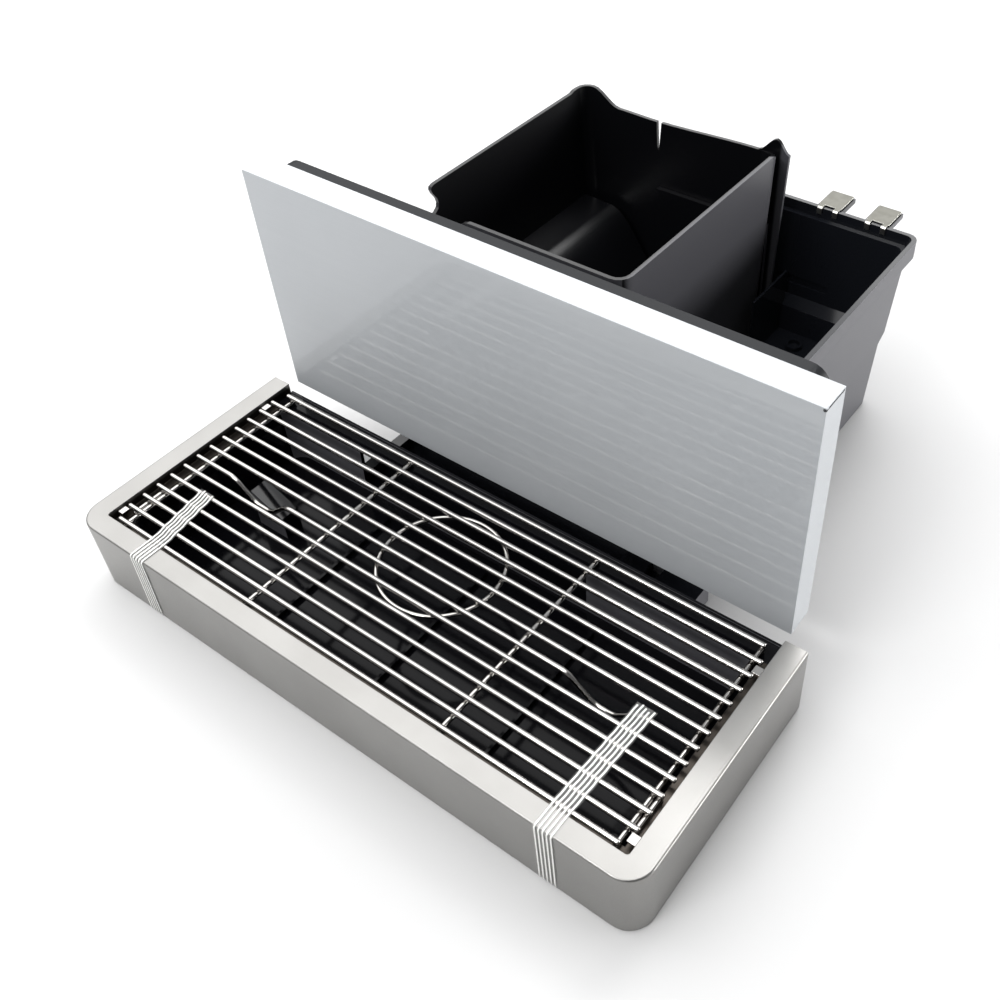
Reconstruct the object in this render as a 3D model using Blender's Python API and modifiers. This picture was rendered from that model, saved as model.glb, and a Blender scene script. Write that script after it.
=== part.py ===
"""Drip tray drawer of a table-top coffee machine.

A steel-framed drip basin at the front carries a welded wire grille. One moulding runs back
from it, under an upright steel front panel, into a deep basin that holds a lift-out container
for coffee grounds. Lengths are in metres, +Z is up and the front looks along -Y. Positions are
written from the front face of the frame and from the table; the drawer_origin empty then
centres the drawer on its footprint.
"""

import math

import bmesh
import bpy

# ---------------------------------------------------------------- driving dimensions
TRAY_WIDTH = 0.350
FRAME_DEPTH = 0.138
FRAME_HEIGHT = 0.0435
OVERALL_DEPTH = 0.3920
GAP = 0.0003
MERGE = 0.000001

# steel frame round the front basin
FRAME_SHEET = 0.0010
FRAME_FOLD = 0.0012
FRAME_RIM = 0.0120
FRAME_LEDGE = 0.0050
FRAME_LEDGE_TOP = 0.0373
FRAME_LEDGE_END = 0.1260
FRAME_CORNER = 0.0130
FRAME_INNER_CORNER = 0.0015
FRAME_FRONT_RIM = 0.0111
CLIP_SIZE = 0.0046
CLIP_TOP = 0.0420
CLIP_ROWS = (0.0187, 0.1173)

# wire grille
BAR_COUNT = 14
BAR_PITCH = 0.0090
BAR_FIRST_Y = 0.0138
BAR_RADIUS = 0.0014
BAR_HALF_LENGTH = 0.1605
END_BAR_HALF_LENGTH = 0.1570
GRIP_BAR = 7
GRIP_CENTRE = 0.1110
GRIP_TOP_HALF = 0.0200
GRIP_FLOOR_HALF = 0.0055
GRIP_DEPTH = 0.0125
GRIP_BEND = 0.0040
CROSS_WIRE_X = (-0.1535, -0.0620, 0.0620, 0.1553)
RING_RADIUS = 0.0324
RING_CENTRE_Y = 0.0858
RING_WIRE_RADIUS = 0.00126
LOCATOR_OFFSET = 0.0031

# transit tape over the frame and the grille
TAPE_WIDTH = 0.0105
TAPE_THICKNESS = 0.00025
TAPE_SAG = 0.0009
TAPE_LOWEST = 0.0012
TAPE_STEP = 0.0009
TAPES = {
    # strip: (middle at the front bar, slant over the bars, slant down the skirt, end)
    "transit_tape_left": (-0.1254, -0.17, -0.06, 0.0512),
    "transit_tape_right": (0.1293, 0.035, 0.0, 0.0722),
}

# basin moulding
WALL = 0.0025
FRONT_FLOOR = 0.0030
FRONT_BACK_Y = 0.1388
FRONT_HALF_WIDTH = 0.1560
FRONT_FLANGE_HALF_WIDTH = 0.1725
FRONT_FLANGE_DEPTH = 0.0030
FRONT_WALL_Y = 0.0160
FRONT_CAVITY_HALF_WIDTH = 0.1530
FRONT_CAVITY_Y = (0.0190, 0.1260)
FRONT_SEAT_Y = 0.1265
FRONT_SEAT_LOW = 0.0340
FRONT_LIP_Y = 0.1375
FRONT_LIP_TOP = 0.0379
BRIDGE_HALF_WIDTH = 0.1050
BRIDGE_LOW = 0.0004
BRIDGE_TOP = 0.0140
CHANNEL_X = (-0.0980, 0.0580)
CHANNEL_Z = (0.0060, 0.0340)
BRIDGE_SLOT_X = (0.0730, 0.0810)
REAR_FRONT_Y = 0.1671
REAR_FLOOR = 0.0300
REAR_RIM = 0.1135
REAR_LEDGE_DEPTH = 0.0065
REAR_HALF_WIDTH = 0.1015
REAR_BACK_Y = 0.3625
REAR_STEP_Z = (0.0450, 0.0505)
REAR_STEP_DEPTH = 0.0058
FLANGE_LOW = 0.1030
FLANGE_HALF_WIDTH = 0.1110
FLANGE_BACK_Y = 0.3745
UNDERSIDE_HALF_WIDTH = 0.0985

# small shapes of the basin moulding
GROOVE_X = (0.0290, 0.0640)
GROOVE_Z = 0.0625
GROOVE_HALF_HEIGHT = 0.0026
GROOVE_Y = (0.3650, 0.3688)
BOSS_CENTRE = (0.0553, 0.3475)
BOSS_RADII = (0.0052, 0.0036)
BOSS_HEIGHT = 0.0028
GUIDE_X = (0.0366, 0.0380)
GUIDE_Y = (0.3240, 0.3640)
GUIDE_TOP = 0.0700
FLOOR_RIB_X = 0.0705
FLOOR_RIB_Y = (0.1720, 0.3300)
RIB_WIDTH = 0.0016
FLOAT_X = (-0.1290, -0.1075)
FLOAT_Y = (0.0735, 0.0845)
FLOAT_TOP = (0.0280, 0.0180)
BASIN_RIB_X = (-0.0700, 0.0, 0.0700)
BASIN_RIB_Y = (0.0300, 0.1150)
BASIN_RIB_TOP = 0.0060

# upright front panel and its carrier
PANEL_HALF_WIDTH = 0.1629
PANEL_FRONT_Y = 0.1442
PANEL_DEPTH = 0.0163
PANEL_LOW = 0.0409
PANEL_HIGH = 0.1789
PANEL_SHEET = 0.0008
CARRIER_HALF_WIDTH = 0.1540
CARRIER_BACK_Y = 0.1668
CARRIER_LOW = 0.0360
CARRIER_CORNER = 0.0090
CARRIER_SKIN = 0.0024
CARRIER_RIB_X = (0.1240, 0.1440)
CARRIER_RIB_DEPTH = 0.0035
CARRIER_RIB_WIDTH = 0.0022
SCREW_PLACES = ((-0.090, 0.060), (0.090, 0.060), (-0.090, 0.098), (0.090, 0.098))
SCREW_RADIUS = 0.0016
SCREW_HEAD_RADIUS = 0.0038
SCREW_BOSS_RADIUS = 0.0042

# container for coffee grounds
BIN_LOW = 0.0308
BIN_RIM = 0.1530
BIN_TOP = 0.1580
BIN_X = (-0.1060, 0.0320)
BIN_Y = (0.1990, 0.3570)
BIN_WALL = 0.0022
BIN_DRAFT = 0.0035
BIN_LEFT_DRAFT = 0.0068
BIN_CORNER = 0.0085
BIN_REAR_RIGHT_CORNER = 0.0140
BIN_FRONT_RIM = 0.1370
BIN_EAR_X = (0.0160, 0.0356)
BIN_EAR_LINE = ((0.0160, 0.1480), (0.0270, 0.1568), (0.0356, 0.1490))
BIN_EAR_THICKNESS = 0.0020
BIN_SLOT_X = -0.0500
BIN_SLOT_LOW = 0.1286
BIN_RAMP_TOP = 0.0860
BIN_RAMP_WIDTH = 0.0680
BIN_RAMP_SHORT = 0.0100
BIN_LEDGE_TOP = 0.1050

# sensor contacts on the rear rim
CONTACT_X = (0.0552, 0.0850)
CONTACT_WIDTH = 0.0138
CONTACT_SHEET = 0.0007
CONTACT_Y = (0.3746, 0.3915)
CONTACT_LEG_WIDTH = 0.0030
CONTACT_LEG_FACE = 0.3714
CONTACT_LEG_DROP = 0.0046
TONGUE_MARGIN = 0.0009

BAR_TOP = FRAME_HEIGHT
BAR_Z = BAR_TOP - BAR_RADIUS
CROSS_Z = BAR_Z - 2 * BAR_RADIUS - GAP
TAPE_FRONT = GAP + TAPE_THICKNESS
ORIGIN_Y = (OVERALL_DEPTH - TAPE_FRONT) / 2

MATERIALS = {
    "satin_steel": ((0.62, 0.61, 0.59), 0.32, 1.0),
    "polished_wire": ((0.74, 0.72, 0.70), 0.14, 1.0),
    "panel_steel": ((0.66, 0.69, 0.71), 0.22, 1.0),
    "gloss_black": ((0.012, 0.012, 0.014), 0.12, 0.0),
    "satin_black": ((0.030, 0.031, 0.033), 0.38, 0.0),
    "contact_nickel": ((0.50, 0.50, 0.46), 0.28, 1.0),
    "clear_tape": ((0.86, 0.86, 0.83), 0.30, 0.0),
}


# ---------------------------------------------------------------- scene helpers
def clear_scene():
    for item in list(bpy.data.objects):
        bpy.data.objects.remove(item, do_unlink=True)


def new_collection(name):
    collection = bpy.data.collections.new(name)
    bpy.context.scene.collection.children.link(collection)
    return collection


def make_materials():
    made = {}
    for name, (colour, roughness, metallic) in MATERIALS.items():
        material = bpy.data.materials.new(name)
        material.use_nodes = True
        shader = material.node_tree.nodes["Principled BSDF"]
        shader.inputs["Base Color"].default_value = (*colour, 1.0)
        shader.inputs["Roughness"].default_value = roughness
        shader.inputs["Metallic"].default_value = metallic
        made[name] = material
    return made


def add_part(name, data, material):
    """Link mesh or curve data as a named part of the drawer."""
    part = bpy.data.objects.new(name, data)
    PARTS.objects.link(part)
    part.data.materials.append(FINISHES[material])
    part.parent = ORIGIN
    return part


def add_cutter(name, mesh):
    cutter = bpy.data.objects.new(name, mesh)
    CUTTERS.objects.link(cutter)
    cutter.hide_render = True
    cutter.display_type = "WIRE"
    cutter.parent = ORIGIN
    return cutter


def boolean(part, cutter, operation):
    step = part.modifiers.new(cutter.name, "BOOLEAN")
    step.operation = operation
    step.solver = "EXACT"
    step.object = cutter
    return step


def cut(part, name, mesh):
    return boolean(part, add_cutter(name, mesh), "DIFFERENCE")


def join(part, name, mesh):
    return boolean(part, add_cutter(name, mesh), "UNION")


def finish_mesh(bm, name, smooth_angle=40):
    """Face the surface outwards and hand it over as mesh data."""
    bmesh.ops.remove_doubles(bm, verts=bm.verts, dist=MERGE)
    bmesh.ops.recalc_face_normals(bm, faces=bm.faces)
    mesh = bpy.data.meshes.new(name)
    bm.to_mesh(mesh)
    bm.free()
    mesh.shade_smooth()
    mesh.set_sharp_from_angle(angle=math.radians(smooth_angle))
    return mesh


# ---------------------------------------------------------------- shape helpers
def box_mesh(name, x_span, y_span, z_span):
    bm = bmesh.new()
    bmesh.ops.create_cube(bm, size=1.0)
    spans = (x_span, y_span, z_span)
    for vert in bm.verts:
        for axis, (low, high) in enumerate(spans):
            vert.co[axis] = low if vert.co[axis] < 0 else high
    return finish_mesh(bm, name)


def cylinder_mesh(name, radius, y_span, x, z, sides=20):
    """A round bar along Y."""
    bm = bmesh.new()
    length = y_span[1] - y_span[0]
    size = {"radius1": radius, "radius2": radius, "depth": length}
    bmesh.ops.create_cone(bm, cap_ends=True, segments=sides, **size)
    for vert in bm.verts:
        across, along, up = vert.co.x, vert.co.z, vert.co.y
        vert.co = (x + across, y_span[0] + length / 2 + along, z + up)
    return finish_mesh(bm, name)


def rounded_rectangle(x_span, y_span, radii, steps):
    """Corner points in turn from the far right; radii is one radius, or one for each corner."""
    if not isinstance(radii, tuple):
        radii = (radii,) * 4
    points = []
    corners = (
        (x_span[1], y_span[1], -1, -1),
        (x_span[0], y_span[1], 1, -1),
        (x_span[0], y_span[0], 1, 1),
        (x_span[1], y_span[0], -1, 1),
    )
    for quarter, (radius, (corner_x, corner_y, inward_x, inward_y)) in enumerate(zip(radii, corners)):
        centre_x = corner_x + inward_x * radius
        centre_y = corner_y + inward_y * radius
        for step in range(steps + 1):
            angle = math.radians(90 * quarter + 90 * step / steps)
            x = centre_x + radius * math.cos(angle)
            points.append((x, centre_y + radius * math.sin(angle)))
    return points


def join_rings(bm, rings):
    """Quads between each ring of points and the next."""
    count = len(rings[0])
    for lower, upper in zip(rings, rings[1:]):
        for index in range(count):
            following = (index + 1) % count
            bm.faces.new((lower[index], lower[following], upper[following], upper[index]))


def loft_mesh(name, levels, steps=4):
    """A block lofted through rounded rectangles, each level (z, x_span, y_span, radii)."""
    bm = bmesh.new()
    rings = []
    for z, x_span, y_span, radius in levels:
        outline = rounded_rectangle(x_span, y_span, radius, steps)
        rings.append([bm.verts.new((x, y, z)) for x, y in outline])
    bm.faces.new(rings[0])
    bm.faces.new(rings[-1])
    join_rings(bm, rings)
    return finish_mesh(bm, name)


def prism_mesh(name, outline, axis, low, high):
    """A flat outline drawn across one axis and extruded along it from low to high."""
    bm = bmesh.new()
    verts = []
    for first, second in outline:
        place = [first, second]
        place.insert("XYZ".index(axis), low)
        verts.append(bm.verts.new(place))
    face = bm.faces.new(verts)
    grown = bmesh.ops.extrude_face_region(bm, geom=[face])
    shift = [0.0, 0.0, 0.0]
    shift["XYZ".index(axis)] = high - low
    moved = [item for item in grown["geom"] if isinstance(item, bmesh.types.BMVert)]
    bmesh.ops.translate(bm, verts=moved, vec=shift)
    return finish_mesh(bm, name)


def poly_curve(name, points, cyclic=False):
    curve = bpy.data.curves.new(name, "CURVE")
    curve.dimensions = "3D"
    spline = curve.splines.new("POLY")
    spline.points.add(len(points) - 1)
    for target, point in zip(spline.points, points):
        target.co = (*point, 1.0)
    spline.use_cyclic_u = cyclic
    return curve


def wire(name, points, radius, material, cyclic=False, resolution=3):
    curve = poly_curve(name, points, cyclic)
    curve.bevel_depth = radius
    curve.bevel_resolution = resolution
    curve.use_fill_caps = not cyclic
    return add_part(name, curve, material)


def rounded_path(points, reach, steps=5):
    """The same route with each inner corner turned into a short curve."""
    route = [points[0]]
    for before, corner, after in zip(points, points[1:], points[2:]):
        start = point_towards(corner, before, reach)
        end = point_towards(corner, after, reach)
        for step in range(steps + 1):
            t = step / steps
            weights = ((1 - t) ** 2, 2 * t * (1 - t), t ** 2)
            ends = (start, corner, end)
            route.append(tuple(sum(w * value for w, value in zip(weights, axis)) for axis in zip(*ends)))
    route.append(points[-1])
    return route


def point_towards(origin, target, distance):
    span = math.dist(origin, target)
    return tuple(a + (b - a) * distance / span for a, b in zip(origin, target))


def eased(points, steps=6):
    """A soft line through (position, height) points, level where it passes each one."""
    line = []
    for (start, low), (end, high) in zip(points, points[1:]):
        for step in range(steps):
            t = step / steps
            line.append((start + (end - start) * t, low + (high - low) * (3 * t * t - 2 * t ** 3)))
    line.append(points[-1])
    return line


# ---------------------------------------------------------------- steel frame
def frame_section(ledge):
    """Skirt, rim, inner lip and ledge of the folded sheet, as (distance inwards, height)."""
    sheet = FRAME_SHEET
    rim = FRAME_RIM
    fold = FRAME_FOLD
    section = [(0.0, 0.0)]
    for step in range(4):
        angle = math.radians(90 * step / 3)
        section.append((fold - fold * math.cos(angle), FRAME_HEIGHT - fold + fold * math.sin(angle)))
    section += [
        (rim, FRAME_HEIGHT),
        (rim, FRAME_LEDGE_TOP),
        (rim + ledge, FRAME_LEDGE_TOP),
        (rim + ledge, FRAME_LEDGE_TOP - sheet),
        (rim, FRAME_LEDGE_TOP - sheet),
        (rim - sheet, FRAME_LEDGE_TOP - sheet),
        (rim - sheet, FRAME_HEIGHT - sheet),
        (sheet, FRAME_HEIGHT - sheet),
        (sheet, 0.0),
    ]
    return section


def frame_corner(inwards):
    """How far out the corner's centre lies, how far back, and the corner's radius."""
    radius = FRAME_CORNER - inwards
    front = inwards
    if inwards >= FRAME_RIM - FRAME_SHEET:
        radius = max(FRAME_INNER_CORNER + FRAME_RIM - inwards, 0.0)
        front = inwards - FRAME_RIM + FRAME_FRONT_RIM
    return TRAY_WIDTH / 2 - inwards - radius, front + radius, radius


def frame_rings():
    """The section at each station, from the left arm's rear end round the front to the right one."""
    half = TRAY_WIDTH / 2
    full = frame_section(FRAME_LEDGE)
    bare = frame_section(0.0)
    arm = [(FRAME_DEPTH, bare), (FRAME_LEDGE_END, bare), (FRAME_LEDGE_END, full)]
    rings = []
    for y, section in arm:
        rings.append([(inwards - half, y, z) for inwards, z in section])
    for side, start in ((-1, 180), (1, 270)):
        for step in range(9):
            angle = math.radians(start + 90 * step / 8)
            ring = []
            for inwards, z in full:
                out, back, radius = frame_corner(inwards)
                ring.append((side * out + radius * math.cos(angle), back + radius * math.sin(angle), z))
            rings.append(ring)
    for y, section in reversed(arm):
        rings.append([(half - inwards, y, z) for inwards, z in section])
    return rings


def make_frame():
    """The U-shaped rim of folded sheet; its ledge ends short of the back."""
    bm = bmesh.new()
    rings = [[bm.verts.new(place) for place in ring] for ring in frame_rings()]
    bm.faces.new(rings[0])
    bm.faces.new(rings[-1])
    join_rings(bm, rings)
    return add_part("steel_frame", finish_mesh(bm, "steel_frame"), "satin_steel")


def make_frame_clips():
    """Four bent steel clips that hook over the ledge and show between the bar ends."""
    inner = TRAY_WIDTH / 2 - FRAME_RIM - GAP
    reach = inner - CLIP_SIZE + GAP
    thick = FRAME_SHEET
    foot = FRAME_LEDGE_TOP + GAP
    for side, side_name in ((-1, "left"), (1, "right")):
        for row, row_name in zip(CLIP_ROWS, ("front", "rear")):
            outline = [
                (side * inner, foot),
                (side * inner, CLIP_TOP),
                (side * reach, CLIP_TOP),
                (side * reach, CLIP_TOP - thick),
                (side * (inner - thick), CLIP_TOP - thick),
                (side * (inner - thick), foot),
            ]
            name = f"frame_clip_{row_name}_{side_name}"
            # the outline is drawn in X and Z, so it runs across the Y axis
            mesh = prism_mesh(name, outline, "Y", row - CLIP_SIZE / 2, row + CLIP_SIZE / 2)
            add_part(name, mesh, "polished_wire")


# ---------------------------------------------------------------- wire grille
def bar_y(index):
    return BAR_FIRST_Y + index * BAR_PITCH


def grip_bar_points(y):
    """The bar that dips at both sides so that two fingers can lift the grille."""
    low = BAR_Z - GRIP_DEPTH
    half = [
        (GRIP_CENTRE - GRIP_TOP_HALF, y, BAR_Z),
        (GRIP_CENTRE - GRIP_FLOOR_HALF, y, low),
        (GRIP_CENTRE + GRIP_FLOOR_HALF, y, low),
        (GRIP_CENTRE + GRIP_TOP_HALF, y, BAR_Z),
        (BAR_HALF_LENGTH, y, BAR_Z),
    ]
    mirrored = [(-x, along, z) for x, along, z in reversed(half)]
    return rounded_path(mirrored + half, GRIP_BEND)


def make_grille():
    for index in range(BAR_COUNT):
        y = bar_y(index)
        outermost = index in (0, BAR_COUNT - 1)
        half = END_BAR_HALF_LENGTH if outermost else BAR_HALF_LENGTH
        points = [(-half, y, BAR_Z), (half, y, BAR_Z)]
        if index == GRIP_BAR - 1:
            points = grip_bar_points(y)
        wire(f"grille_bar_{index + 1:02d}", points, BAR_RADIUS, "polished_wire")
    last = bar_y(BAR_COUNT - 1)
    for number, x in enumerate(CROSS_WIRE_X, start=1):
        points = [(x, BAR_FIRST_Y - BAR_RADIUS, CROSS_Z), (x, last + BAR_RADIUS, CROSS_Z)]
        wire(f"cross_wire_{number}", points, BAR_RADIUS, "polished_wire")
    ring = []
    for step in range(48):
        angle = math.tau * step / 48
        y = RING_CENTRE_Y + RING_RADIUS * math.sin(angle)
        ring.append((RING_RADIUS * math.cos(angle), y, CROSS_Z))
    wire("cup_ring", ring, RING_WIRE_RADIUS, "polished_wire", cyclic=True, resolution=2)
    for side, side_name in ((-1, "left"), (1, "right")):
        x = CROSS_WIRE_X[-1 if side > 0 else 0] + side * LOCATOR_OFFSET
        points = [(x, bar_y(1) - BAR_RADIUS, CROSS_Z), (x, bar_y(3) + BAR_RADIUS, CROSS_Z)]
        wire(f"locator_wire_{side_name}", points, BAR_RADIUS, "polished_wire")


# ---------------------------------------------------------------- transit tape
def tape_route(end_y):
    """Up the front skirt, over the rim, then from bar to bar with a little sag between."""
    corner = FRAME_FOLD
    top = FRAME_HEIGHT + GAP
    route = [(-GAP, TAPE_LOWEST), (-GAP, FRAME_HEIGHT - corner)]
    for step in range(1, 5):
        angle = math.radians(90 * step / 4)
        reach = corner + GAP
        route.append((corner - reach * math.cos(angle), FRAME_HEIGHT - corner + reach * math.sin(angle)))
    route.append((BAR_FIRST_Y, top))
    steps = int((end_y - BAR_FIRST_Y) / TAPE_STEP)
    for step in range(1, steps + 1):
        y = BAR_FIRST_Y + (end_y - BAR_FIRST_Y) * step / steps
        phase = math.pi * (y - BAR_FIRST_Y) / BAR_PITCH
        route.append((y, top - TAPE_SAG * math.sin(phase) ** 2))
    return route


def make_tape(name):
    """A flat strip whose middle drifts sideways by its slants."""
    centre_x, slant, skirt_slant, end_y = TAPES[name]
    bm = bmesh.new()
    edges = []
    for y, z in tape_route(end_y):
        below_rim = FRAME_HEIGHT - z if y < 0 else 0.0
        drift = slant * max(0.0, y - BAR_FIRST_Y) + skirt_slant * below_rim
        left = bm.verts.new((centre_x + drift - TAPE_WIDTH / 2, y, z))
        right = bm.verts.new((centre_x + drift + TAPE_WIDTH / 2, y, z))
        edges.append((left, right))
    for (left, right), (next_left, next_right) in zip(edges, edges[1:]):
        bm.faces.new((left, right, next_right, next_left))
    mesh = bpy.data.meshes.new(name)
    bm.to_mesh(mesh)
    bm.free()
    mesh.shade_smooth()
    tape = add_part(name, mesh, "clear_tape")
    skin = tape.modifiers.new("thickness", "SOLIDIFY")
    skin.thickness = TAPE_THICKNESS
    skin.offset = 1.0
    return tape


# ---------------------------------------------------------------- basin moulding
def symmetric(half):
    return (-half, half)


def front_basin_levels():
    """Outside of the front basin, up to the flange that the frame's ledge rests on."""
    top = FRAME_LEDGE_TOP - FRAME_SHEET - GAP
    flange = top - FRONT_FLANGE_DEPTH
    back = FRONT_BACK_Y
    flange_x = symmetric(FRONT_FLANGE_HALF_WIDTH)
    flange_y = (0.0025, back - 0.0010)
    return [
        (0.0, symmetric(FRONT_HALF_WIDTH), (FRONT_WALL_Y, back - 0.0105), 0.010),
        (flange, symmetric(FRONT_HALF_WIDTH + 0.0035), (FRONT_WALL_Y - 0.0015, back - 0.0095), 0.010),
        (flange, flange_x, flange_y, 0.0140),
        (top, flange_x, flange_y, 0.0140),
    ]


def front_cavity_levels():
    half = FRONT_CAVITY_HALF_WIDTH
    front, back = FRONT_CAVITY_Y
    return [
        (FRONT_FLOOR, symmetric(half), (front, back), 0.009),
        (0.0500, symmetric(half + 0.0040), (front - 0.0020, back + 0.0018), 0.009),
    ]


def rear_outer_levels():
    """Outside of the rear basin: drafted walls, a step low on the back, a flange at the rim."""
    front = REAR_FRONT_Y + 0.0005
    half = REAR_HALF_WIDTH
    back = REAR_BACK_Y
    step_low, step_high = REAR_STEP_Z
    flange_x = symmetric(FLANGE_HALF_WIDTH)
    flange_y = (REAR_FRONT_Y, FLANGE_BACK_Y)
    return [
        (0.0, symmetric(half), (front, back), 0.006),
        (step_low, symmetric(half + 0.0020), (front, back + 0.0020), 0.006),
        (step_high, symmetric(half + 0.0025), (front, back + 0.0020 + REAR_STEP_DEPTH), 0.006),
        (FLANGE_LOW, symmetric(half + 0.0060), (front, back + 0.0087), 0.006),
        (FLANGE_LOW, flange_x, flange_y, 0.0065),
        (REAR_RIM, flange_x, flange_y, 0.0065),
    ]


def rear_cavity_levels():
    """Inside of the rear basin, with a ledge just below the rim."""
    front = REAR_FRONT_Y + WALL + 0.001
    half = REAR_HALF_WIDTH
    back = REAR_BACK_Y
    step_low, step_high = REAR_STEP_Z
    ledge = REAR_RIM - REAR_LEDGE_DEPTH
    return [
        (REAR_FLOOR, symmetric(half - 0.0015), (front, back - 0.0025), 0.005),
        (step_low + 0.0015, symmetric(half - 0.0005), (front, back - 0.0007), 0.005),
        (step_high + 0.0015, symmetric(half), (front, back - 0.0007 + REAR_STEP_DEPTH), 0.005),
        (ledge, symmetric(half + 0.0035), (front, back + 0.0060), 0.005),
        (ledge, symmetric(half + 0.0067), (front - 0.0008, back + 0.0092), 0.0045),
        (REAR_RIM + 0.002, symmetric(half + 0.0069), (front - 0.0008, back + 0.0094), 0.0045),
    ]


def make_basin():
    """One moulding: front basin, low bridge with a channel, and the deep rear basin."""
    basin = add_part("drip_basin", loft_mesh("drip_basin", front_basin_levels()), "gloss_black")
    seat_x = symmetric(TRAY_WIDTH / 2 - FRAME_RIM - 2 * GAP)
    seat = box_mesh("rear_seat", seat_x, (FRONT_SEAT_Y, FRONT_BACK_Y), (FRONT_SEAT_LOW, FRAME_LEDGE_TOP))
    join(basin, "rear_seat", seat)
    lip = box_mesh("rear_lip", seat_x, (FRONT_LIP_Y, FRONT_BACK_Y), (FRONT_SEAT_LOW, FRONT_LIP_TOP))
    join(basin, "rear_lip", lip)
    cut(basin, "front_cavity", loft_mesh("front_cavity", front_cavity_levels()))
    bridge_y = (FRONT_CAVITY_Y[1] + 0.0020, REAR_FRONT_Y + 0.0020)
    bridge_z = (BRIDGE_LOW, BRIDGE_TOP)
    join(basin, "bridge", box_mesh("bridge", symmetric(BRIDGE_HALF_WIDTH), bridge_y, bridge_z))
    join(basin, "rear_basin", loft_mesh("rear_basin", rear_outer_levels()))
    cut(basin, "rear_cavity", loft_mesh("rear_cavity", rear_cavity_levels()))
    channel_y = (FRONT_CAVITY_Y[1] - 0.0020, REAR_FRONT_Y + 0.0060)
    cut(basin, "channel", box_mesh("channel", CHANNEL_X, channel_y, CHANNEL_Z))
    slot_y = (FRONT_BACK_Y + WALL, REAR_FRONT_Y - 0.0016)
    slot_z = (CHANNEL_Z[0], BRIDGE_TOP + 0.006)
    cut(basin, "bridge_slot", box_mesh("bridge_slot", BRIDGE_SLOT_X, slot_y, slot_z))
    add_underside(basin)
    add_rear_details(basin)
    add_front_details(basin)
    return basin


def add_underside(basin):
    """Hollow below the raised floor of the rear basin, open at the bottom."""
    x_span = symmetric(UNDERSIDE_HALF_WIDTH)
    y_span = (REAR_FRONT_Y + 0.010, REAR_BACK_Y - 0.0035)
    levels = [(-0.001, x_span, y_span, 0.005), (REAR_FLOOR - WALL, x_span, y_span, 0.005)]
    cut(basin, "rear_underside", loft_mesh("rear_underside", levels))


def add_rear_details(basin):
    """Groove in the back wall, floor boss, guide beside the container, rib and tongues."""
    half = GROOVE_HALF_HEIGHT
    groove = rounded_rectangle(GROOVE_X, (GROOVE_Z - half, GROOVE_Z + half), half - 0.0001, 4)
    cut(basin, "wall_groove", prism_mesh("wall_groove", groove, "Y", *GROOVE_Y))
    root = REAR_FLOOR - 0.001
    boss = collar_mesh("floor_boss", BOSS_CENTRE, BOSS_RADII, (root, REAR_FLOOR + BOSS_HEIGHT))
    join(basin, "floor_boss", boss)
    guide = box_mesh("container_guide", GUIDE_X, GUIDE_Y, (root, GUIDE_TOP))
    join(basin, "container_guide", guide)
    rib_x = (FLOOR_RIB_X, FLOOR_RIB_X + RIB_WIDTH)
    rib = box_mesh("floor_rib", rib_x, FLOOR_RIB_Y, (root, REAR_FLOOR + RIB_WIDTH))
    join(basin, "floor_rib", rib)
    tongue_y = (FLANGE_BACK_Y - 0.001, OVERALL_DEPTH)
    tongue_z = (REAR_RIM - 0.0030, REAR_RIM - 0.0002)
    for number, x in enumerate(CONTACT_X, start=1):
        reach = CONTACT_WIDTH / 2 + TONGUE_MARGIN
        join(basin, f"tongue_{number}", box_mesh("tongue", (x - reach, x + reach), tongue_y, tongue_z))


def collar_mesh(name, centre, radii, z_span, sides=24):
    """A short round collar, from its outer to its inner radius."""
    outer, inner = radii
    low, high = z_span
    bm = bmesh.new()
    rings = []
    for radius, z in ((outer, low), (outer, high), (inner, high), (inner, low)):
        ring = []
        for side in range(sides):
            angle = math.tau * side / sides
            x = centre[0] + radius * math.cos(angle)
            ring.append(bm.verts.new((x, centre[1] + radius * math.sin(angle), z)))
        rings.append(ring)
    join_rings(bm, rings + rings[:1])
    return finish_mesh(bm, name)


def add_front_details(basin):
    """Block with a sloping top and three low ribs on the floor of the front basin."""
    root = FRONT_FLOOR - 0.001
    left, right = FLOAT_X
    high, low = FLOAT_TOP
    wedge = [(left, root), (left, high), (right, low), (right, root)]
    join(basin, "sloping_block", prism_mesh("sloping_block", wedge, "Y", *FLOAT_Y))
    for number, x in enumerate(BASIN_RIB_X, start=1):
        x_span = (x - RIB_WIDTH / 2, x + RIB_WIDTH / 2)
        rib = box_mesh("basin_rib", x_span, BASIN_RIB_Y, (root, BASIN_RIB_TOP))
        join(basin, f"basin_rib_{number}", rib)


# ---------------------------------------------------------------- front panel and carrier
def make_front_panel():
    """A folded steel tray, open at the back, with a seam at each corner of its returns."""
    sheet = PANEL_SHEET
    half = PANEL_HALF_WIDTH
    back = PANEL_FRONT_Y + PANEL_DEPTH
    outer = box_mesh("front_panel", (-half, half), (PANEL_FRONT_Y, back), (PANEL_LOW, PANEL_HIGH))
    panel = add_part("front_panel", outer, "panel_steel")
    inside = half - sheet
    hollow_y = (PANEL_FRONT_Y + sheet, back + 0.001)
    hollow_z = (PANEL_LOW + sheet, PANEL_HIGH - sheet)
    cut(panel, "panel_hollow", box_mesh("panel_hollow", symmetric(inside), hollow_y, hollow_z))
    seam = 0.0005
    for side, side_name in ((-1, "left"), (1, "right")):
        x_span = sorted((side * (inside - seam), side * (half + 0.001)))
        for low, level_name in ((hollow_z[0], "low"), (hollow_z[1] - seam, "high")):
            slit = box_mesh("seam", x_span, (PANEL_FRONT_Y + 0.0025, back + 0.001), (low, low + seam))
            cut(panel, f"seam_{level_name}_{side_name}", slit)
    return panel


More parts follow.
